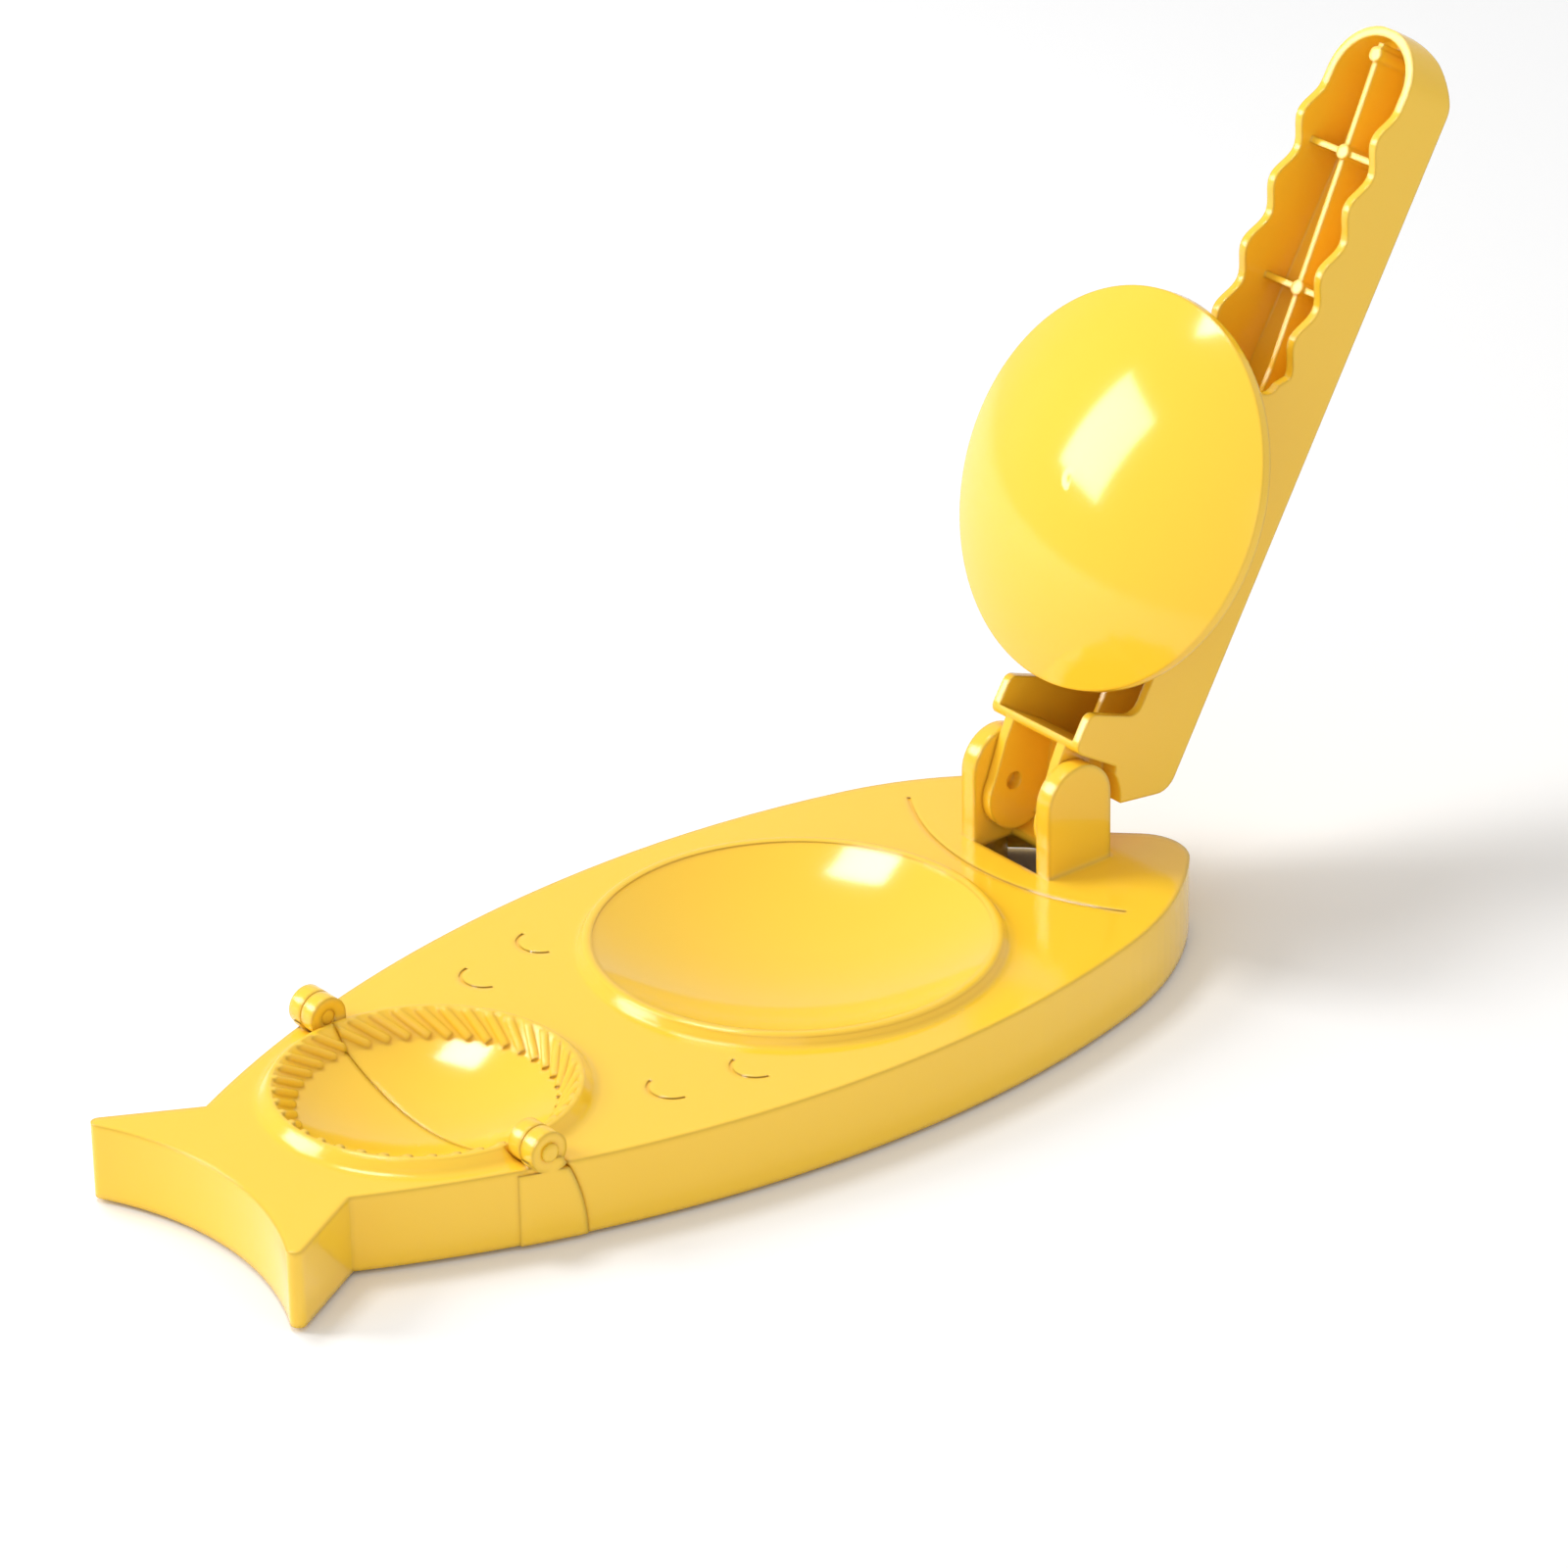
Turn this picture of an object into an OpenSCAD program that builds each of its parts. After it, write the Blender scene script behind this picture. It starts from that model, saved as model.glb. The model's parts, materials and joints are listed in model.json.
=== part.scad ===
// Fish-shaped dumpling press: a rolling dish with a lever press, and a fold-over crimping mould.
// X runs from the tail to the head, Z is up, and the floor is Z = 0. The parts are worked out
// from the dish centre, then moved so that the origin is on the floor under the middle of the
// whole box. The press arm is drawn open, leaning on its stop.

/* [Shells] */
// Half width of the body at its widest place
body_half_w = 63.5; // [60:0.5:78]
// Height of both shells, without the feet
shell_h = 19.5; // [18:0.5:24]
// Wall thickness of both shells
wall = 2.2; // [1.6:0.1:2.8]
// Length of the outline's middle arc, from the widest place to the head
mid_len = 70; // [60:1:80]
// Radius of the outline's tail arc
tail_arc_r = 315; // [300:5:400]
// Radius of the outline's middle arc
mid_arc_r = 262; // [240:2:300]
// Radius of the outline's head arc
head_arc_r = 92; // [86:1:100]
// Distance from the dish centre to the point of the mouth notch
mouth_x = 89.5; // [88:0.5:94]
// Distance from the dish centre back to the widest place
widest_back = 8.6; // [0:0.1:15]

/* [Dish and press dome] */
// Radius of the dish at its crest
dish_r = 50; // [42:0.5:50]
// Depth of the dish below its crest
dish_depth = 14; // [9:0.5:15]
// Height of the dish crest above the shell top
dish_lip = 2.9; // [1.5:0.1:4]
// Radius of the press dome
dome_r = 50; // [41:0.5:50]
// Gap left for the dough between the dish and the closed dome
dough_gap = 1.2; // [0.8:0.1:3]
// Height of the dome's rim band
dome_band = 2.6; // [2:0.1:4]
// Wall thickness of the dome
dome_wall = 2.2; // [1.8:0.1:3]

/* [Press arm] */
// Height of the arm hinge above the shells' bottom edge
hinge_h = 34.4; // [33:0.1:40]
// Distance from the dish centre to the arm hinge
reach = 78.1; // [76:0.1:80]
// Angle that the arm opens from closed, where it leans on its stop
open_angle = 115.5; // [90:0.5:118]
// Angle that the closed arm rises towards the handle
arm_lift = 5.5; // [3:0.5:8]
// Length of the arm from its hinge
arm_len = 206; // [180:1:240]
// Half width of the arm at its hinge
arm_half_w = 16.1; // [15.8:0.1:17]
// Half width of the arm at its handle
grip_half_w = 14; // [12:0.5:15]
// Distance from the hinge line to the arm's back face
arm_back = 27.3; // [25:0.1:32]
// Wall thickness of the arm
arm_wall = 2.4; // [1.8:0.1:3]
// Length of one finger wave
wave_len = 17.5; // [15:0.5:22]
// Height of a finger wave from trough to crest
wave_h = 3.8; // [1:0.2:5]

/* [Arm hinge] */
// Half of the gap between the two ears
ear_gap = 11.5; // [11:0.1:13]
// Thickness of an ear
ear_t = 4.9; // [4:0.1:7]
// Half length of an ear, and the radius of its round top
ear_r = 10; // [9:0.5:11]
// Height of an ear above the hinge line
ear_top = 13; // [12:0.5:14]
// Radius of the trunnions
trunnion_r = 3.5; // [2.5:0.1:4.5]
// Length of a trunnion beyond its lug
trunnion_len = 3; // [2:0.1:3.5]
// Radial running clearance of the hinges
run_gap = 0.05; // [0.02:0.01:0.1]
// Side clearance of each moving face
side_gap = 0.4; // [0.3:0.05:0.6]

/* [Crimping mould and tail] */
// Distance from the dish centre to the fold line
fold_back = 110.9; // [108:0.1:122]
// Radius of the mould at its lip
mould_r = 37.3; // [32:0.1:39]
// Depth of the mould below the lip
mould_depth = 13.4; // [10:0.1:14]
// Height of the mould lip above the shell top
mould_lip = 3; // [2:0.1:4]
// Height of the tail hinge line above the mould lip
fold_gap = 0.9; // [0.5:0.1:2]
// Number of pleat teeth round the whole mould
teeth = 40; // [24:4:44]
// Radius of the tail hinge ears
fold_ear_r = 5; // [4:0.1:5.5]
// Thickness of each fold ear and knuckle
fold_ear_t = 4.3; // [3.5:0.1:4.5]
// Radius of the tail hinge pins
pin_r = 1.9; // [1.5:0.1:2.4]
// Distance from the fold line to the neck of the tail
neck_len = 42.9; // [41:0.1:50]
// Distance from the fold line to the middle of the fin's end
fin_len = 58.4; // [54:0.1:66]
// Radius of the hollow in the fin's end
notch_r = 81; // [70:1:110]
// Angle that the fins flare outwards from the neck
flare = 29; // [24:0.5:34]
// Radius of the round fin tips
tip_r = 2; // [1.5:0.1:3]

/* [Feet] */
// Height that the feet stand out below the shells
foot_proud = 1.2; // [1:0.1:3]
// Radius of a foot
foot_r = 4.5; // [3:0.5:6]
// Depth of the seat that a foot sits in
foot_seat = 1.2; // [0.8:0.1:2]

/* [Hidden] */
$fn = 96;

yellow = [0.98, 0.80, 0.16];
steel = [0.72, 0.73, 0.75];
dark_rubber = [0.25, 0.24, 0.22];

base_z = foot_proud;
top_z = base_z + shell_h;
far = 400;
// Distance from the dish centre to the middle of the whole box
frame_shift = 12.69;

// Outline of both shells: three tangent arcs a side.
widest_x = -widest_back;
turn = asin(mid_len / mid_arc_r);
tail_arc_y = tail_arc_r - body_half_w;
mid_arc_y = mid_arc_r - body_half_w;
tail_arc_c = [widest_x, -tail_arc_y];
mid_arc_c = [widest_x, -mid_arc_y];
head_arc = [widest_x + mid_len - head_arc_r * sin(turn),
    mid_arc_y - (mid_arc_r - head_arc_r) * cos(turn)];
// The lip corner touches the head arc and the mouth notch, 45 degrees each way.
corner_r = (mouth_x - head_arc.x - head_arc.y) / sqrt(2);
corner = [head_arc.x + (head_arc_r - corner_r) / sqrt(2),
    -head_arc.y + (head_arc_r - corner_r) / sqrt(2)];

// Fold line, neck and fin
fold_x = -fold_back;
fold_z = top_z + mould_lip + fold_gap;
seam = side_gap / 2;
neck_x = fold_x - neck_len;
neck_y = sqrt(pow(tail_arc_r, 2) - pow(neck_x - widest_x, 2)) - tail_arc_y;
flare_dir = [-cos(flare), sin(flare)];
flare_out = [sin(flare), cos(flare)];
notch_x = fold_x - fin_len - notch_r;
// Centre of the round tip, tangent to the flared edge and to the hollow end
tip_start = [neck_x, neck_y] - tip_r * flare_out - [notch_x, 0];
tip_b = tip_start * flare_dir;
tip_c = tip_start * tip_start - pow(notch_r + tip_r, 2);
tip = [notch_x, 0] + tip_start + (-sqrt(pow(tip_b, 2) - tip_c) - tip_b) * flare_dir;
notch_turn = atan2(tip.y, tip.x - notch_x);

// Dish and dome
crest_z = top_z + dish_lip;
bowl_z = crest_z - dish_depth;
bowl_edge_r = dish_r - 1.4;
bowl_edge_z = crest_z - 0.6;
bowl_rise = bowl_edge_z - bowl_z;
bowl_sphere = (pow(bowl_edge_r, 2) + pow(bowl_rise, 2)) / (2 * bowl_rise);
dome_rim_z = crest_z + 0.75 * dough_gap;
dome_seat_z = dome_rim_z + dome_band;
dome_low_z = bowl_z + dough_gap;
dome_rise = dome_rim_z - dome_low_z;
dome_sphere = (pow(dome_r, 2) + pow(dome_rise, 2)) / (2 * dome_rise);

// Mould
lip_z = top_z + mould_lip;
mould_low_z = lip_z - mould_depth;
band_in_r = mould_r - 6.3;
band_in_z = lip_z - 5.8;
band_out_r = mould_r - 1.3;
mould_rise = band_in_z - mould_low_z;
mould_sphere = (pow(band_in_r, 2) + pow(mould_rise, 2)) / (2 * mould_rise);
collar_r = mould_r + 3.4;

// Fold hinge, from the knuckles outwards
knuckle_in = mould_r + 0.7;
knuckle_out = knuckle_in + fold_ear_t;
fold_ear_in = knuckle_out + side_gap;
fold_ear_out = fold_ear_in + fold_ear_t + 0.1;
pad_edge_r = 46;
pad_len = 8.4;
pad_proud = 0.6;

// Arm hinge
hinge = [reach, 0, base_z + hinge_h];
lug_out = ear_gap - side_gap;
lug_t = 3;
lug_in = lug_out - lug_t;
arm_turn = 180 - arm_lift;
hinge_clear_r = ear_top + 0.7;

// Arm
rim_v = -6.3;
grip_v = -8.9;
chin_u = hinge_clear_r + 0.2;
chin_v = 9.8;
box_start = 46;
box_end = 112;
grip_start = 118;
rib_t = 1.6;
post_u = [139, 174, 199];

// Dome screws
screw_r = 1.5;
screw_head_r = 2.9;
screw_head_h = 2;
screw_len = 10;
screw_land = 4;
screw_x = 20;
screw_y = 7;
post_r = 4.6;
boss_r = 3.6;

// Feet, each [along, across]
foot_head = [84, 27];
foot_mid = [-62, 37];
foot_fin = [fold_x - fin_len + 9, 22];

// Height of a bowl's underside at radius r, one wall below a sphere that rests at height z
function under_sphere(z, big_r, r) = z + big_r - sqrt(big_r * big_r - r * r) - wall;

function arc(c, r, a0, a1, n) =
    [for (i = [0:n]) c + r * [cos(a0 + (a1 - a0) * i / n), sin(a0 + (a1 - a0) * i / n)]];

// Where the flared edge meets the tail arc, both moved in by i
function neck_at(i) =
    let (q = [neck_x, neck_y] - i * flare_out - tail_arc_c, b = q * flare_dir,
        c = q * q - pow(tail_arc_r - i, 2))
    [neck_x, neck_y] - i * flare_out + (sqrt(b * b - c) - b) * flare_dir;

// Left edge of the outline from the fin's end to the mouth, moved in by i
function left_edge(i) =
    let (neck = neck_at(i), d = neck - tail_arc_c)
    concat(
        arc([notch_x, 0], notch_r + i, 0, notch_turn * 11 / 12, 11),
        arc(tip, max(tip_r - i, 0.3), notch_turn + 180, 90 - flare, 8),
        arc(tail_arc_c, tail_arc_r - i, atan2(d.y, d.x), 90, 24),
        arc(mid_arc_c, mid_arc_r - i, 90 - turn / 8, 90 - turn, 7),
        arc([head_arc.x, -head_arc.y], head_arc_r - i, 87 - turn, 45, 10),
        arc(corner, corner_r - i, 37, -45, 10),
        [[mouth_x - i * sqrt(2), 0]]);

// Whole outline: the left edge and its mirror image
function whole_edge(i) =
    let (left = left_edge(i), n = len(left))
    concat(left, [for (k = [n - 2:-1:1]) [left[k].x, -left[k].y]]);

// Moves what is drawn round the dish centre to the part's own origin
module in_frame() {
    translate([-frame_shift, 0, 0]) children();
}

module side_pair() {
    children();
    mirror([0, 1, 0]) children();
}

// Upright block inside the outline, moved in by i
module outline_block(i, h) {
    linear_extrude(h) polygon(whole_edge(i));
}

// The dish's raised collar and the bowl's underside
module dish_blank() {
    rotate([0, 0, 22]) rotate_extrude($fn = 180) polygon(concat(
        [for (k = [0:4]) [k * 0.2 * dish_r, under_sphere(bowl_z, bowl_sphere, k * 0.2 * dish_r)]],
        [[dish_r + 1, top_z - wall], [dish_r + 3.6, top_z - wall]],
        arc([dish_r + 3.6, top_z + 1.6], 1.8, -90, -165, 6),
        arc([dish_r + 0.2, crest_z - 0.9], 0.9, 0, 90, 5),
        arc([dish_r - 0.6, crest_z - 0.9], 0.9, 90, 130, 3),
        [[0, crest_z - 0.9]]));
}

module dish_cut() {
    intersection() {
        translate([0, 0, bowl_z + bowl_sphere]) sphere(bowl_sphere, $fn = 360);
        cylinder(h = crest_z + 20, r = bowl_edge_r, $fn = 180);
    }
}

// The mould's bowl and collar; the revolved seam lies on the side given by spin
module mould_blank(spin) {
    translate([fold_x, 0, 0]) rotate([0, 0, spin]) rotate_extrude($fn = 144) polygon(concat(
        [for (k = [0:3]) [k * band_in_r / 3, under_sphere(mould_low_z, mould_sphere, k * band_in_r / 3)]],
        [[mould_r + 0.6, top_z - wall], [collar_r, top_z - wall], [collar_r, top_z]],
        arc([collar_r, top_z + 2.2], 2.2, -90, -150, 6),
        arc([mould_r - 0.6, lip_z - 0.6], 0.6, 20, 90, 4),
        [[band_out_r, lip_z], [0, lip_z]]));
}

// Space over the mould: its sphere, narrowed by the steeper cone of the toothed band
module mould_cut(spin) {
    low = mould_low_z - 1;
    high = lip_z + 1;
    spread = (band_out_r - band_in_r) / (lip_z - band_in_z);
    translate([fold_x, 0, 0]) rotate([0, 0, spin]) intersection() {
        translate([0, 0, mould_low_z + mould_sphere]) sphere(mould_sphere, $fn = 240);
        translate([0, 0, low]) cylinder(h = high - low, r1 = band_in_r - spread * (band_in_z - low),
            r2 = band_in_r + spread * (high - band_in_z), $fn = 144);
    }
}

// Round bar between two points
module bar(p, q, r) {
    d = q - p;
    translate(p) rotate([0, acos(d.z / norm(d)), atan2(d.y, d.x)]) cylinder(h = norm(d), r = r, $fn = 24);
}

// Slanted pleat teeth on the mould's sloping band; half is 1 for the body and -1 for the tail
module pleat_teeth(half) {
    pitch = 360 / teeth;
    slant = 1.5 * pitch;
    r0 = band_in_r + 0.3;
    r1 = band_out_r + 0.1;
    for (i = [0:teeth - 1]) {
        a = pitch * (i + 0.5) - slant / 2;
        if (half * cos(a + slant / 2) > 0.05)
            bar([fold_x + r0 * cos(a), r0 * sin(a), band_in_z + 0.1],
                [fold_x + r1 * cos(a + slant), r1 * sin(a + slant), lip_z - 0.3], 1.15);
    }
}

// Space over the mould, less the teeth of one half
module mould_space(spin, half) {
    difference() {
        mould_cut(spin);
        pleat_teeth(half);
    }
}

// Side view of the tail's pad, grown by g: it ends on an arc towards the body
module pad_zone(g) {
    translate([fold_x + pad_len - pad_edge_r, 0, base_z]) rotate([90, 0, 0])
        translate([0, 0, -far / 2]) cylinder(h = far, r = pad_edge_r + g, $fn = 180);
}

// Space of the tail's ears and pads on both sides of the body, moved in by inset
module pad_space(inset) {
    side_pair() {
        intersection() {
            pad_zone(side_gap + inset);
            translate([fold_x - 20, knuckle_out + side_gap / 2 - inset, -1]) cube([60, 60, far]);
        }
        translate([fold_x, knuckle_out + side_gap / 2 - inset, fold_z]) rotate([-90, 0, 0])
            cylinder(h = 30, r = fold_ear_r + side_gap + inset);
    }
}

module foot_post(p, h) {
    translate([p.x, p.y, base_z]) cylinder(h = h, r = foot_r + 1.8);
}

module foot_recess(p) {
    translate([p.x, p.y, base_z - 1]) cylinder(h = foot_seat + 1, r = foot_r + run_gap);
}

// Groove of a round line on the shell top
module groove(c, r, a0, a1) {
    translate([c.x, c.y, top_z - 0.45]) rotate([0, 0, a0])
        rotate_extrude(angle = a1 - a0) translate([r - 0.45, 0]) square([0.9, 2]);
}

module ear() {
    outer = ear_gap + ear_t;
    translate([reach, 0, 0]) difference() {
        translate([0, outer, 0]) rotate([90, 0, 0]) linear_extrude(ear_t) {
            translate([0, hinge.z + ear_top - ear_r]) circle(ear_r);
            translate([-ear_r, top_z - 1]) square([2 * ear_r, hinge.z + ear_top - ear_r - top_z + 1]);
        }
        translate([0, ear_gap - 1, hinge.z]) rotate([-90, 0, 0])
            cylinder(h = 1 + trunnion_len + side_gap + 0.2, r = trunnion_r + run_gap);
    }
}

module knuckle() {
    translate([fold_x, knuckle_in, fold_z]) rotate([-90, 0, 0]) cylinder(h = fold_ear_t, r = fold_ear_r);
    translate([fold_x + seam, knuckle_in, top_z - wall]) cube([fold_ear_r - seam, fold_ear_t, fold_z - top_z + wall]);
}

module knuckle_pocket() {
    translate([fold_x, knuckle_in - side_gap - 1, fold_z]) rotate([-90, 0, 0])
        cylinder(h = fold_ear_in - knuckle_in + side_gap + 1, r = fold_ear_r + side_gap);
}

module pin_bore(extra) {
    translate([fold_x, knuckle_in - 1, fold_z]) rotate([-90, 0, 0])
        cylinder(h = fold_ear_out - knuckle_in + 3, r = pin_r + extra);
}

module body_shell() color(yellow) in_frame() {
    difference() {
        union() {
            difference() {
                translate([0, 0, base_z]) outline_block(0, shell_h);
                translate([0, 0, base_z - 1]) outline_block(wall, shell_h - wall + 1);
            }
            intersection() {
                translate([fold_x + seam, -far / 2, base_z]) cube([wall, far, shell_h - 1]);
                translate([0, 0, base_z]) outline_block(wall / 2, shell_h - wall / 2);
            }
            intersection() {
                pad_space(wall);
                translate([0, 0, base_z]) outline_block(wall / 2, shell_h - wall / 2);
            }
            dish_blank();
            mould_blank(180);
            side_pair() {
                foot_post(foot_head, shell_h - 1);
                foot_post(foot_mid, shell_h - 1);
            }
        }
        translate([-far + fold_x + seam, -far / 2, -1]) cube([far, far, far]);
        pad_space(0);
        dish_cut();
        mould_space(180, 1);
        side_pair() {
            foot_recess(foot_head);
            foot_recess(foot_mid);
        }
        translate([reach - ear_r + 0.1, -ear_gap, -1]) cube([12.1, 2 * ear_gap, far]);
        groove([58.9 + 73, 0], 73, 180 - 34, 180 + 34);
        side_pair() {
            groove([-66, 36], 6, 100, 250);
            groove([-45, 41], 6, 100, 250);
        }
    }
    side_pair() ear();
    side_pair() difference() {
        knuckle();
        pin_bore(run_gap);
    }
}

module tail_shell() color(yellow) in_frame() {
    difference() {
        union() {
            intersection() {
                difference() {
                    translate([0, 0, base_z]) outline_block(0, shell_h);
                    translate([0, 0, base_z - 1]) outline_block(wall, shell_h - wall + 1);
                }
                translate([-far + fold_x - seam, -far / 2, 0]) cube([far, far, far]);
            }
            intersection() {
                translate([fold_x - seam - wall, -far / 2, base_z]) cube([wall, far, shell_h - 1]);
                translate([0, 0, base_z]) outline_block(wall / 2, shell_h - wall / 2);
            }
            intersection() {
                mould_blank(0);
                translate([-far + fold_x - seam, -far / 2, 0]) cube([far, far, far]);
            }
            side_pair() foot_post(foot_fin, shell_h - 1);
        }
        mould_space(0, -1);
        side_pair() {
            knuckle_pocket();
            foot_recess(foot_fin);
        }
    }
    side_pair() fold_ear();
}

// Ear and pad of the tail, outside the body's knuckle
module fold_ear() {
    difference() {
        union() {
            translate([fold_x, fold_ear_in, fold_z]) rotate([-90, 0, 0])
                cylinder(h = fold_ear_out - fold_ear_in, r = fold_ear_r);
            intersection() {
                translate([widest_x, -tail_arc_y, base_z])
                    cylinder(h = shell_h + 2, r = tail_arc_r + pad_proud, $fn = 360);
                pad_zone(0);
                translate([fold_x - fold_ear_r - 2, fold_ear_in, base_z])
                    cube([fold_ear_r + 2 + pad_len, 12, fold_z - base_z]);
                union() {
                    translate([fold_x, 0, fold_z]) rotate([-90, 0, 0]) cylinder(h = far, r = fold_ear_r + 0.4);
                    translate([fold_x - 60, 0, 0]) cube([120, 60, top_z - 1.2]);
                }
            }
        }
        pin_bore(run_gap);
    }
}

module tail_pin() color(yellow) in_frame() {
    translate([fold_x, knuckle_in + 0.3, fold_z]) rotate([-90, 0, 0]) {
        cylinder(h = fold_ear_out - knuckle_in - 0.3, r = pin_r);
        translate([0, 0, fold_ear_out - knuckle_in - 0.3]) cylinder(h = 0.5, r = pin_r + 0.4);
        translate([0, 0, fold_ear_out - knuckle_in + 0.2]) cylinder(h = 0.4, r1 = pin_r + 0.4, r2 = pin_r - 0.3);
    }
}

module foot(p) color(dark_rubber) in_frame() {
    translate([p.x, p.y, 0]) cylinder(h = foot_proud + foot_seat, r = foot_r);
}

// Turns what is drawn closed, in place, to the open pose
module opened() {
    translate(hinge) rotate([0, open_angle, 0]) translate(-hinge) children();
}

module press_dome() color(yellow) in_frame() opened() {
    difference() {
        union() {
            intersection() {
                translate([0, 0, dome_low_z + dome_sphere]) sphere(dome_sphere, $fn = 360);
                cylinder(h = dome_rim_z, r = dome_r, $fn = 180);
            }
            translate([0, 0, dome_rim_z]) cylinder(h = dome_band, r = dome_r, $fn = 180);
        }
        difference() {
            union() {
                intersection() {
                    translate([0, 0, dome_low_z + dome_sphere]) sphere(dome_sphere - dome_wall, $fn = 360);
                    cylinder(h = dome_rim_z, r = dome_r - dome_wall, $fn = 180);
                }
                translate([0, 0, dome_rim_z]) cylinder(h = far, r = dome_r - dome_wall, $fn = 180);
            }
            seat_ring();
            screw_spots() cylinder(h = dome_seat_z, r = boss_r);
        }
        translate([0, 0, dome_seat_z]) cylinder(h = far, r = far);
        screw_spots() translate([0, 0, dome_seat_z - screw_len + screw_land - 0.5])
            cylinder(h = far, r = screw_r + run_gap);
    }
}

// Upright frame in the dome that the arm's side walls stand on
module seat_ring() {
    translate([-36, -16.4, 0]) difference() {
        cube([69, 32.8, dome_seat_z]);
        translate([dome_wall, 5, -1]) cube([69 - 2 * dome_wall, 22.8, far]);
    }
}

module screw_spots() {
    for (x = [-screw_x, screw_x], y = [-screw_y, screw_y]) translate([x, y, 0]) children();
}

module dome_screws() color(steel) in_frame() opened() screw_spots() {
    translate([0, 0, dome_seat_z + screw_land - screw_len]) cylinder(h = screw_len, r = screw_r);
    translate([0, 0, dome_seat_z + screw_land]) difference() {
        cylinder(h = screw_head_h, r = screw_head_r);
        translate([-screw_head_r, -0.35, screw_head_h - 0.8]) cube([2 * screw_head_r, 0.7, 2]);
        translate([-0.35, -screw_head_r, screw_head_h - 0.8]) cube([0.7, 2 * screw_head_r, 2]);
    }
}

// The arm's own frame: X along the arm from the hinge, Z towards the dome side
module arm_frame() {
    translate(hinge) rotate([0, open_angle - arm_turn, 0]) children();
}

function arm_half(u) = arm_half_w + (grip_half_w - arm_half_w) * u / arm_len;

// Side view of the arm, with waves on the grip's rim
module arm_side() {
    waves = floor((arm_len - grip_start - 8) / wave_len);
    polygon(concat(
        arc([chin_u + 2.5, chin_v - 2.5], 2.5, 180, 90, 4),
        arc([22, chin_v - 2.5], 2.5, 90, 20, 4),
        arc([30.5, rim_v + 4], 4, 200, 270, 4),
        [[box_start - 4, rim_v]],
        arc([box_start - 4, rim_v + 4], 4, -90, 0, 4),
        [[box_start, 40], [box_end, 40]],
        arc([box_end + 4, grip_v + 5], 4, 180, 260, 4),
        [for (i = [0:16 * waves]) [grip_start + wave_len * i / 16,
            grip_v - wave_h / 2 * cos(360 * i / 16)]],
        [[arm_len, grip_v - wave_h / 2]],
        arc([arm_len - 9, -arm_back + 12], 9, 0, -50, 5),
        arc([arm_len - 15, -arm_back + 9], 9, -60, -90, 3),
        arc([16, -arm_back + 6], 6, -90, -160, 5),
        [[4.5, -10], [chin_u, -6]]));
}

// Plan of the arm, grown by g, with a round handle end
module arm_plan(g) {
    w0 = arm_half(-20) + g;
    w1 = arm_half(arm_len - grip_half_w) + g;
    polygon(concat([[-20, -w0]], arc([arm_len - grip_half_w, 0], w1, -90, 90, 30), [[-20, w0]]));
}

module arm_pocket() {
    intersection() {
        translate([0, 50, 0]) rotate([90, 0, 0]) linear_extrude(100) polygon(concat(
            [[chin_u + arm_wall, 60], [chin_u + arm_wall, -6]],
            [[9, -12]],
            arc([16.5, -arm_back + 6.4], 4, -160, -90, 4),
            [[arm_len - 15.5, -arm_back + arm_wall], [arm_len - 7, -arm_back + 7], [arm_len, -arm_back + 14]],
            [[arm_len, 60]]));
        translate([0, 0, -60]) linear_extrude(140) arm_plan(-arm_wall);
    }
}

// Room for the ears over the whole swing, on both sides of the lugs
module ear_room() {
    side_pair() translate([0, lug_out, 0]) {
        rotate([-90, 0, 0]) cylinder(h = 30, r = hinge_clear_r);
        rotate([0, arm_turn - open_angle, 0]) translate([-ear_r - side_gap, 0, -60])
            cube([2 * ear_r + 2 * side_gap, 30, 60]);
        rotate([0, arm_turn, 0]) translate([-ear_r - side_gap, 0, -60])
            cube([2 * ear_r + 2 * side_gap, 30, 60]);
    }
}

module lug() {
    translate([0, lug_out, 0]) rotate([90, 0, 0]) linear_extrude(lug_t) {
        translate([-2.5, -3.5]) circle(9.6);
        polygon([[-2.5, -13.1], [chin_u + 1, -13.1], [chin_u + 1, chin_v - 1], [9, 8.3], [-2.2, 6.09]]);
    }
    translate([0, lug_out - 0.5, 0]) rotate([-90, 0, 0]) cylinder(h = trunnion_len + 0.5, r = trunnion_r);
}

module arm_ribs() {
    low = -arm_back + 1;
    grip_top = grip_v - 0.3;
    translate([0, rib_t / 2, 0]) rotate([90, 0, 0]) linear_extrude(rib_t)
        polygon([[chin_u + 1, low], [chin_u + 1, grip_v], [38, grip_v], [46, grip_v - 10],
            [grip_start, grip_v - 10], [arm_len - 4, grip_top - 1], [arm_len - 4, -arm_back + 9],
            [arm_len - 14, low]]);
    for (u = [post_u[0], post_u[1]]) {
        top = grip_v - 10 * (arm_len - u) / (arm_len - grip_start) - 0.6;
        translate([u - rib_t / 2, -arm_half(u) + 1, low]) cube([rib_t, 2 * arm_half(u) - 2, top - low]);
    }
    for (u = post_u) {
        top = grip_v - 10 * (arm_len - u) / (arm_len - grip_start) + 0.2;
        translate([u, 0, low]) cylinder(h = top - low, r = 1.9, $fn = 32);
    }
}

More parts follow.
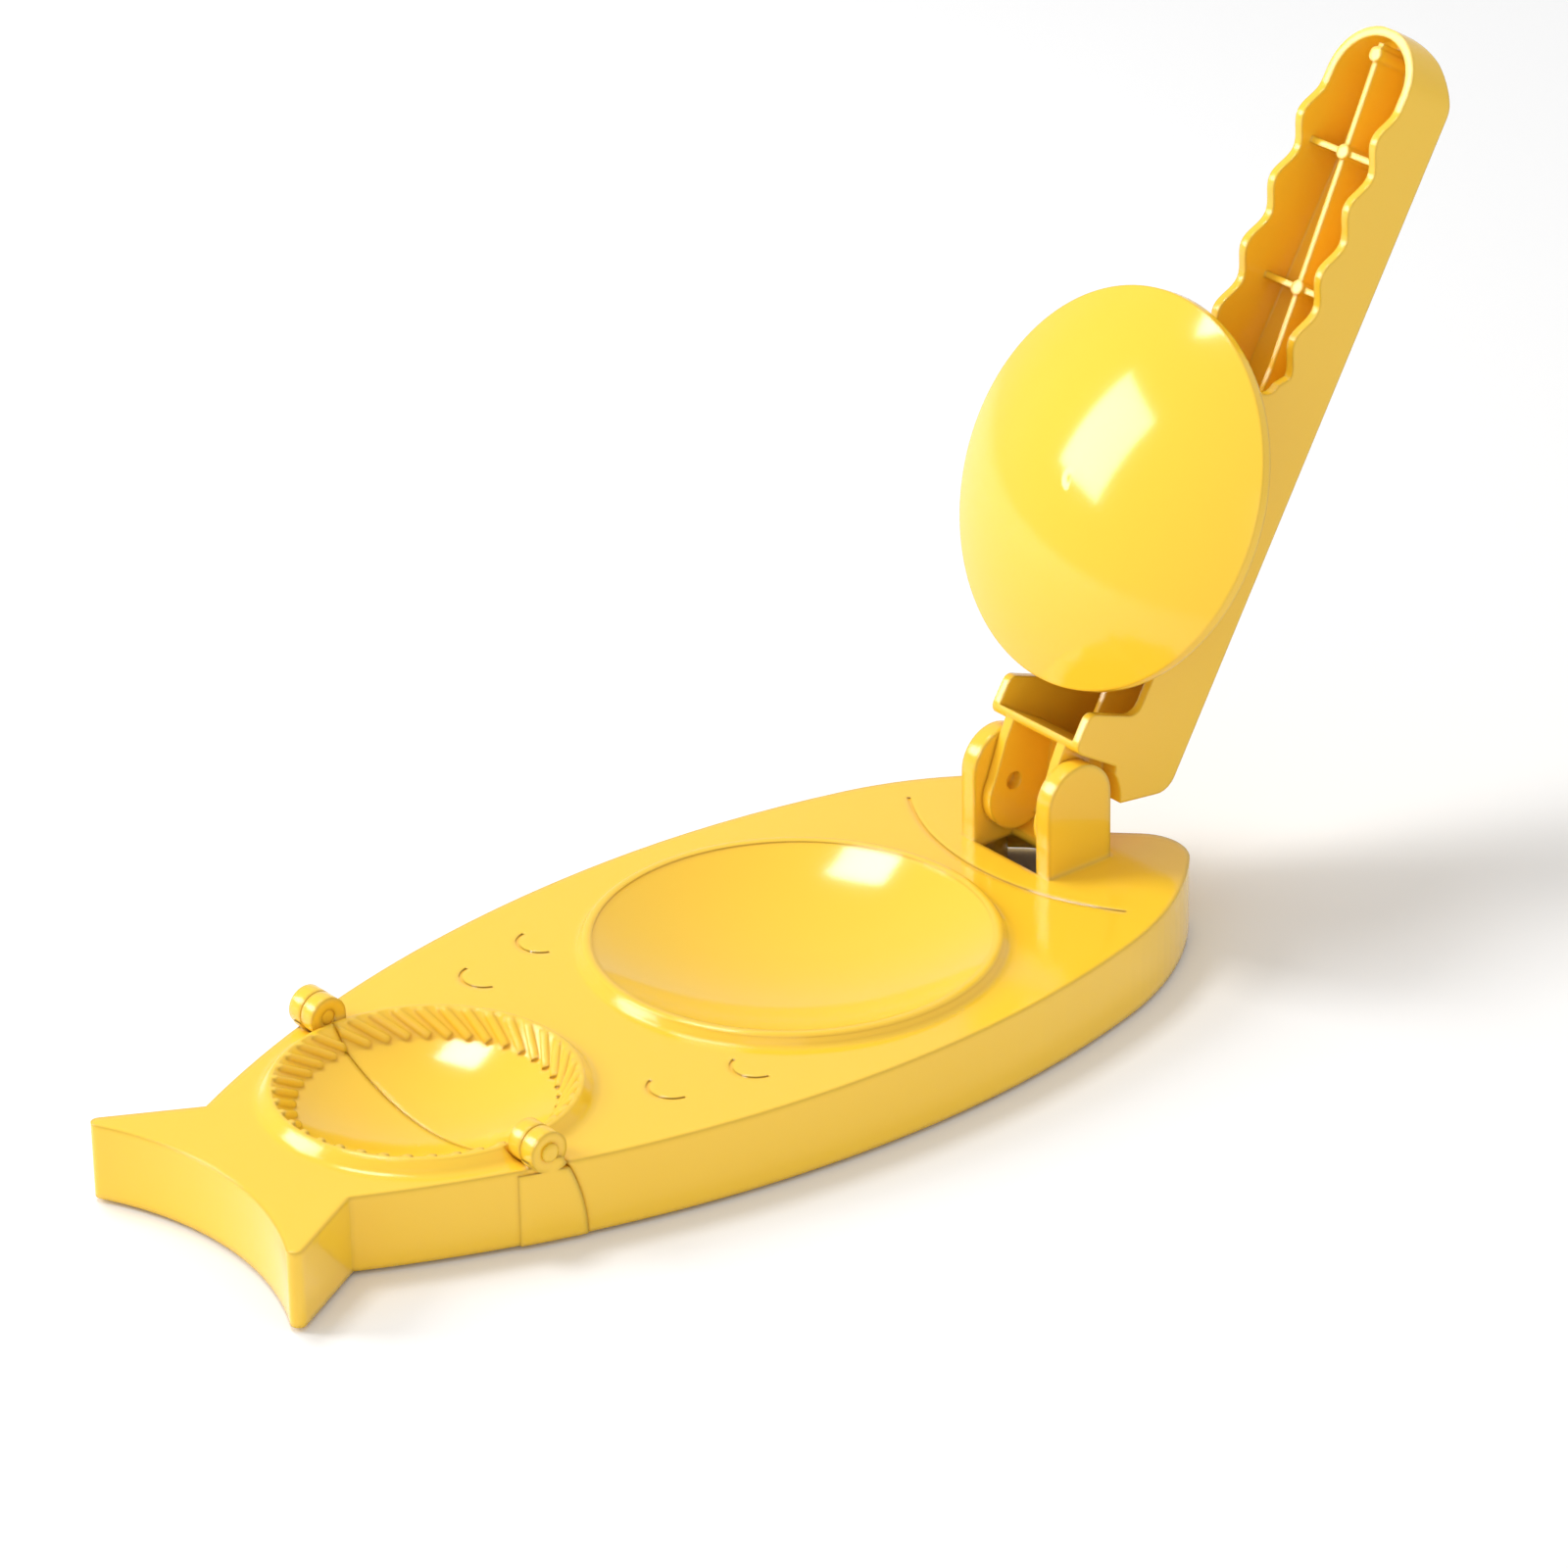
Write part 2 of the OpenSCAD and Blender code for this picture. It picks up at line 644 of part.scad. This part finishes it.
module press_arm() color(yellow) in_frame() arm_frame() {
    difference() {
        union() {
            difference() {
                intersection() {
                    translate([0, 50, 0]) rotate([90, 0, 0]) linear_extrude(100) arm_side();
                    translate([0, 0, -60]) linear_extrude(140) arm_plan(0);
                }
                arm_pocket();
                ear_room();
                dome_side() translate([-far / 2, -far / 2, dome_seat_z - far]) cube([far, far, far]);
            }
            arm_ribs();
            side_pair() lug();
            translate([-6, -lug_in - 1, -13]) cube([chin_u + 7, 2 * lug_in + 2, 2]);
            intersection() {
                dome_side() screw_spots() translate([0, 0, dome_seat_z]) cylinder(h = 60, r = post_r);
                translate([0, -50, -arm_back + 0.5]) cube([arm_len, 100, 90]);
            }
        }
        side_pair() translate([0, lug_in - 1, 0]) rotate([-90, 0, 0])
            cylinder(h = 1 + lug_t, r = trunnion_r - 1.2);
        dome_side() screw_spots() {
            translate([0, 0, dome_seat_z - 1]) cylinder(h = 60, r = screw_r + 0.2);
            translate([0, 0, dome_seat_z + screw_land]) cylinder(h = 60, r = screw_head_r + 0.4);
        }
    }
}

// Places what is drawn closed, over the dish, in the arm's own frame
module dome_side() {
    rotate([0, arm_turn, 0]) translate(-hinge) children();
}

body_shell();
tail_shell();
press_arm();
press_dome();
dome_screws();
tail_pin();  // tail_pin_left
mirror([0, 1, 0]) tail_pin();  // tail_pin_right
foot(foot_head);  // foot_head_left
foot([foot_head.x, -foot_head.y]);  // foot_head_right
foot(foot_mid);  // foot_mid_left
foot([foot_mid.x, -foot_mid.y]);  // foot_mid_right
foot(foot_fin);  // foot_fin_left
foot([foot_fin.x, -foot_fin.y]);  // foot_fin_right
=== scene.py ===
"""Looks of the dumpling press: glossy plastic, steel, rubber and a plain studio."""

import json
import math

import bpy
import numpy as np
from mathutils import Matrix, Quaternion, Vector

bl_info = {
    "name": "Dumpling Press Looks",
    "version": (1, 0, 0),
    "blender": (4, 5, 0),
    "location": "View3D > Sidebar > Dumpling Press",
    "description": "Finishes the moulded parts of a dumpling press and lights them",
    "category": "Object",
}

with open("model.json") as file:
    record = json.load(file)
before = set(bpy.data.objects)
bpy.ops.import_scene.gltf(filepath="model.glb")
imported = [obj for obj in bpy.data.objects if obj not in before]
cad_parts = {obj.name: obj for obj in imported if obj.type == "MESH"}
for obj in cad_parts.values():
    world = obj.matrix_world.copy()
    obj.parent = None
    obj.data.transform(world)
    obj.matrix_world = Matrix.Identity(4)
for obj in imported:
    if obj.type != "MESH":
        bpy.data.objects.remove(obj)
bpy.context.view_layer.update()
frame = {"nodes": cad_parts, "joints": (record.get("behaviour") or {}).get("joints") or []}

SHELLS = ("body_shell", "tail_shell")
ARM_PARTS = ("press_arm", "press_dome")
PINS = ("tail_pin_left", "tail_pin_right")
FEET = (
    "foot_head_left",
    "foot_head_right",
    "foot_mid_left",
    "foot_mid_right",
    "foot_fin_left",
    "foot_fin_right",
)
FOLD = next(j for j in frame["joints"] if j["name"] == "tail_fold")
FOLD_TO_DISH = 0.1109
# Middle of the dish, on the floor, and the places of the camera and lights measured from it
DISH = Vector((FOLD["pos_m"][0] + FOLD_TO_DISH, 0.0, 0.0))
CENTRE = DISH + Vector((0.0514, 0.0657, 0.0216))
EYE = DISH + Vector((-0.9831, -1.2109, 0.8549))
DOME = DISH + Vector((0.095, -0.005, 0.13))
# Name, place, aim, width and height of each softbox, and the setting that holds its power
SOFTBOXES = (
    ("side_softbox", (-0.85, 0.83, 0.73), DOME, 0.50, 0.66, "key"),
    ("top_softbox", (-0.15, 0.55, 1.45), DISH, 0.40, 0.40, "fill"),
    ("front_softbox", (-1.2, -1.0, 0.75), DOME, 0.9, 0.9, "front"),
)
FLOOR_HALF, FLOOR_DEPTH, WALL_HEIGHT, FLOOR_BEND = 4.0, 2.4, 3.0, 0.8
# A Mix node's sockets for its factor and its two colours, and its colour output
FACTOR, COLOUR_A, COLOUR_B, COLOUR_OUT = "i0", "i6", "i7", 2


# ---------------------------------------------------------------- shader maths


class Sock:
    """Wraps a shader socket, so that its sums and products add Math nodes."""

    def __init__(self, tree, socket):
        self.tree = tree
        self.socket = socket

    def node(self, kind, settings=None, **inputs):
        """Adds one node of a type: its settings first, then the values or links of its sockets.

        A socket is given by its name, or as i and its number where names repeat.
        """
        n = self.tree.nodes.new(kind)
        for key, value in (settings or {}).items():
            setattr(n, key, value)
        for key, value in inputs.items():
            target = n.inputs[int(key[1:]) if key[1:].isdigit() else key]
            if isinstance(value, Sock):
                self.tree.links.new(value.socket, target)
            else:
                target.default_value = value
        return n

    def out(self, n, name=0):
        return Sock(self.tree, n.outputs[name])

    def _maths(self, operation, a, b):
        return self.out(self.node("ShaderNodeMath", {"operation": operation}, i0=a, i1=b))

    def __add__(self, other):
        return self._maths("ADD", self, other)

    __radd__ = __add__

    def __mul__(self, other):
        return self._maths("MULTIPLY", self, other)

    __rmul__ = __mul__


def new_material(name):
    """An empty node material and its shader and coordinates."""
    material = bpy.data.materials.new(name)
    material.use_nodes = True
    tree = material.node_tree
    shader = tree.nodes["Principled BSDF"]
    coords = tree.nodes.new("ShaderNodeTexCoord")
    return material, tree, shader, Sock(tree, coords.outputs["Object"])


def noise(place, scale, detail=3.0, rough=0.5):
    """Fractal noise between 0 and 1 at a point."""
    return place.out(
        place.node("ShaderNodeTexNoise", Vector=place, Scale=scale, Detail=detail, Roughness=rough)
    )


def wear_tone(place, low, high, amount):
    """Colour between two tones, by an amount between 0 and 1."""
    sockets = {FACTOR: amount, COLOUR_A: low, COLOUR_B: high}
    return place.out(place.node("ShaderNodeMix", {"data_type": "RGBA"}, **sockets), COLOUR_OUT)


def moulded_plastic(name, tone, deep, edge):
    """Glossy moulded plastic: a slow drift of tone, faint mould ripple and softly broken edges."""
    material, tree, shader, place = new_material(name)
    drift = noise(place, 14.0, 2.0)
    streak = noise(place, 90.0, 4.0, 0.6)
    tree.links.new(wear_tone(place, deep, tone, drift * 0.5 + 0.45).socket, shader.inputs["Base Color"])
    tree.links.new((streak * 0.05 + drift * 0.03 + 0.09).socket, shader.inputs["Roughness"])
    soft = place.node("ShaderNodeBevel", {"samples": 6}, Radius=edge)
    ripple = noise(place, 38.0, 2.0)
    grain = noise(place, 900.0, 2.0)
    bump = place.node(
        "ShaderNodeBump",
        Strength=0.06,
        Distance=0.0004,
        Height=ripple * 0.8 + grain * 0.04,
        Normal=place.out(soft),
    )
    tree.links.new(bump.outputs[0], shader.inputs["Normal"])
    shader.inputs["IOR"].default_value = 1.5
    shader.inputs["Specular IOR Level"].default_value = 0.55
    shader.inputs["Coat Weight"].default_value = 0.25
    shader.inputs["Coat Roughness"].default_value = 0.06
    shader.inputs["Subsurface Weight"].default_value = 0.05
    shader.inputs["Subsurface Radius"].default_value = (0.004, 0.002, 0.0005)
    shader.inputs["Subsurface Scale"].default_value = 1.0
    return material


def turned_steel(name):
    """Plain steel with fine turning marks."""
    material, tree, shader, place = new_material(name)
    marks = noise(place, 1600.0, 2.0)
    blotch = noise(place, 120.0)
    tree.links.new(
        wear_tone(place, (0.42, 0.42, 0.44, 1), (0.66, 0.67, 0.69, 1), blotch).socket,
        shader.inputs["Base Color"],
    )
    tree.links.new((marks * 0.16 + 0.22).socket, shader.inputs["Roughness"])
    bump = place.node("ShaderNodeBump", Strength=0.2, Distance=0.0002, Height=marks)
    tree.links.new(bump.outputs[0], shader.inputs["Normal"])
    shader.inputs["Metallic"].default_value = 1.0
    return material


def foot_rubber(name):
    """Matte dark rubber with a fine stipple."""
    material, tree, shader, place = new_material(name)
    stipple = noise(place, 1400.0, 2.0)
    dust = noise(place, 160.0)
    tree.links.new(
        wear_tone(place, (0.03, 0.03, 0.03, 1), (0.075, 0.072, 0.068, 1), dust).socket,
        shader.inputs["Base Color"],
    )
    tree.links.new((stipple * 0.2 + 0.68).socket, shader.inputs["Roughness"])
    bump = place.node("ShaderNodeBump", Strength=0.3, Distance=0.0002, Height=stipple)
    tree.links.new(bump.outputs[0], shader.inputs["Normal"])
    return material


# ---------------------------------------------------------------- shapes


def sweep_floor(half, depth, rise, bend):
    """Floor and back wall in one sheet, which is its profile repeated across its width.

    The profile is flat up to depth. It then turns through a quarter circle of radius bend: depth
    plus bend times the sine of the turn along, and bend less bend times its cosine up. It then
    goes straight up to rise.
    """
    turn = np.linspace(0.0, math.pi / 2, 17)
    along = np.concatenate(([-half], depth + bend * np.sin(turn), [depth + bend]))
    up = np.concatenate(([0.0], bend - bend * np.cos(turn), [rise]))
    across = np.linspace(-half, half, 9)
    grid_a, grid_c = np.meshgrid(along, across)
    grid_u = np.broadcast_to(up, grid_a.shape)
    view = (CENTRE - EYE).xy.normalized()
    x = CENTRE.x + grid_a * view.x - grid_c * view.y
    y = CENTRE.y + grid_a * view.y + grid_c * view.x
    points = np.stack((x, y, grid_u), axis=-1)
    return grid_mesh("studio_floor", points)


def grid_mesh(name, points):
    """A sheet of quads through a grid of points."""
    rows, cols = points.shape[:2]
    index = np.arange(rows * cols).reshape(rows, cols)
    quads = np.stack((index[:-1, :-1], index[:-1, 1:], index[1:, 1:], index[1:, :-1]), axis=-1)
    mesh = bpy.data.meshes.new(name)
    mesh.from_pydata(points.reshape(-1, 3).tolist(), [], quads.reshape(-1, 4).tolist())
    mesh.polygons.foreach_set("use_smooth", np.ones(len(mesh.polygons), bool))
    mesh.update()
    piece = bpy.data.objects.new(name, mesh)
    bpy.context.scene.collection.objects.link(piece)
    return piece


# ---------------------------------------------------------------- finish of the CAD parts


def dress(name, material):
    """Gives a CAD node its material."""
    if name not in frame["nodes"]:
        raise RuntimeError("no CAD node named " + name)
    slots = frame["nodes"][name].data.materials
    slots.clear()
    slots.append(material)


class PlasticSettings(bpy.types.PropertyGroup):
    tone: bpy.props.FloatVectorProperty(
        name="Plastic tone", description="Main colour of the plastic",
        default=(0.96, 0.60, 0.036), size=3, subtype="COLOR", min=0.0, max=1.0,
    )
    deep: bpy.props.FloatVectorProperty(
        name="Deep tone", description="Colour that the plastic drifts to",
        default=(0.92, 0.55, 0.027), size=3, subtype="COLOR", min=0.0, max=1.0,
    )
    edge: bpy.props.FloatProperty(
        name="Edge radius", description="Radius of the shells' soft edges",
        default=0.0022, min=0.0002, max=0.005, subtype="DISTANCE", unit="LENGTH",
    )
    fine_edge: bpy.props.FloatProperty(
        name="Fine edge radius", description="Radius of the arm's and pins' edges",
        default=0.0012, min=0.0001, max=0.003, subtype="DISTANCE", unit="LENGTH",
    )


class StageSettings(bpy.types.PropertyGroup):
    lens: bpy.props.FloatProperty(
        name="Lens", description="Focal length on a 36 mm sensor", default=168.0, min=20.0, max=400.0,
    )
    roll: bpy.props.FloatProperty(
        name="Roll", description="Camera roll", default=math.radians(1.04), subtype="ANGLE", unit="ROTATION",
    )
    key: bpy.props.FloatProperty(
        name="Side light", description="Power of the side softbox", default=9.0,
        min=0.0, max=500.0,
        subtype="POWER", unit="POWER",
    )
    fill: bpy.props.FloatProperty(
        name="Top light", description="Power of the top softbox", default=7.0, min=0.0, max=500.0,
        subtype="POWER", unit="POWER",
    )
    front: bpy.props.FloatProperty(
        name="Front light", description="Power of the soft front light", default=3.0, min=0.0, max=500.0,
        subtype="POWER", unit="POWER",
    )
    sky: bpy.props.FloatProperty(
        name="Room light", description="Strength of the even light all round", default=0.70, min=0.0, max=5.0,
    )


def rgba(colour):
    """A colour with full alpha."""
    return (colour[0], colour[1], colour[2], 1.0)


class PRESS_OT_shells(bpy.types.Operator):
    """Dress both shells in glossy plastic with soft edges"""

    bl_idname = "dumpling_press.shells"
    bl_label = "Shells"

    def execute(self, context):
        values = context.scene.press_plastic
        material = moulded_plastic("shell_plastic", rgba(values.tone), rgba(values.deep), values.edge)
        for name in SHELLS:
            dress(name, material)
        return {"FINISHED"}


class PRESS_OT_arm(bpy.types.Operator):
    """Dress the arm, the dome and the tail pins in glossy plastic"""

    bl_idname = "dumpling_press.arm"
    bl_label = "Arm, dome and pins"

    def execute(self, context):
        values = context.scene.press_plastic
        material = moulded_plastic("arm_plastic", rgba(values.tone), rgba(values.deep), values.fine_edge)
        for name in ARM_PARTS + PINS:
            dress(name, material)
        return {"FINISHED"}


class PRESS_OT_screws(bpy.types.Operator):
    """Dress the dome screws in steel"""

    bl_idname = "dumpling_press.screws"
    bl_label = "Dome screws"

    def execute(self, context):
        dress("dome_screws", turned_steel("screw_steel"))
        return {"FINISHED"}


class PRESS_OT_feet(bpy.types.Operator):
    """Dress the feet in matte rubber"""

    bl_idname = "dumpling_press.feet"
    bl_label = "Feet"

    def execute(self, context):
        material = foot_rubber("foot_rubber")
        for name in FEET:
            dress(name, material)
        return {"FINISHED"}


def softbox(name, place, aim, width, height, power):
    """Adds a rectangular area light at a place, facing a point."""
    data = bpy.data.lights.new(name, "AREA")
    data.shape = "RECTANGLE"
    data.size = width
    data.size_y = height
    data.energy = power
    lamp = bpy.data.objects.new(name, data)
    lamp.location = place
    lamp.rotation_mode = "QUATERNION"
    lamp.rotation_quaternion = (aim - place).to_track_quat("-Z", "Y")
    bpy.context.scene.collection.objects.link(lamp)


class PRESS_OT_stage(bpy.types.Operator):
    """Make the pale floor, the soft studio light and the camera"""

    bl_idname = "dumpling_press.stage"
    bl_label = "Stage"

    def execute(self, context):
        values = context.scene.press_stage
        floor = sweep_floor(FLOOR_HALF, FLOOR_DEPTH, WALL_HEIGHT, FLOOR_BEND)
        material, tree, shader, point = new_material("stage_paper")
        tone = noise(point, 3.0)
        tree.links.new(
            wear_tone(point, (0.90, 0.90, 0.90, 1), (0.92, 0.92, 0.92, 1), tone).socket,
            shader.inputs["Base Color"],
        )
        shader.inputs["Roughness"].default_value = 0.9
        shader.inputs["Specular IOR Level"].default_value = 0.1
        floor.data.materials.append(material)

        world = bpy.data.worlds.new("room")
        context.scene.world = world
        world.use_nodes = True
        background = world.node_tree.nodes["Background"]
        background.inputs["Color"].default_value = (1, 1, 1, 1)
        background.inputs["Strength"].default_value = values.sky

        for name, place, aim, width, height, power in SOFTBOXES:
            softbox(name, DISH + Vector(place), aim, width, height, getattr(values, power))

        data = bpy.data.cameras.new("camera")
        data.sensor_width = 36.0
        data.lens = values.lens
        data.clip_start = 0.05
        data.clip_end = 30.0
        data.dof.use_dof = False
        camera = bpy.data.objects.new("camera", data)
        camera.location = EYE
        camera.rotation_mode = "QUATERNION"
        turn = (CENTRE - EYE).to_track_quat("-Z", "Y")
        camera.rotation_quaternion = turn @ Quaternion((0, 0, 1), -values.roll)
        context.scene.collection.objects.link(camera)
        context.scene.camera = camera
        context.scene.view_settings.view_transform = "Standard"
        return {"FINISHED"}


class PRESS_PT_panel(bpy.types.Panel):
    bl_label = "Dumpling Press"
    bl_idname = "PRESS_PT_panel"
    bl_space_type = "VIEW_3D"
    bl_region_type = "UI"
    bl_category = "Dumpling Press"

    def draw(self, context):
        layout = self.layout
        for group in (context.scene.press_plastic, context.scene.press_stage):
            for key in group.bl_rna.properties.keys():
                if key not in ("rna_type", "name"):
                    layout.prop(group, key)
        for step in STEPS:
            layout.operator(step.bl_idname)


STEPS = (PRESS_OT_shells, PRESS_OT_arm, PRESS_OT_screws, PRESS_OT_feet, PRESS_OT_stage)
CLASSES = (PlasticSettings, StageSettings) + STEPS + (PRESS_PT_panel,)


def register():
    for kind in CLASSES:
        bpy.utils.register_class(kind)
    bpy.types.Scene.press_plastic = bpy.props.PointerProperty(type=PlasticSettings)
    bpy.types.Scene.press_stage = bpy.props.PointerProperty(type=StageSettings)


def unregister():
    del bpy.types.Scene.press_stage
    del bpy.types.Scene.press_plastic
    for kind in reversed(CLASSES):
        bpy.utils.unregister_class(kind)


def main():
    register()
    bpy.ops.dumpling_press.shells()
    bpy.ops.dumpling_press.arm()
    bpy.ops.dumpling_press.screws()
    bpy.ops.dumpling_press.feet()
    bpy.ops.dumpling_press.stage()


if __name__ == "__main__":
    main()
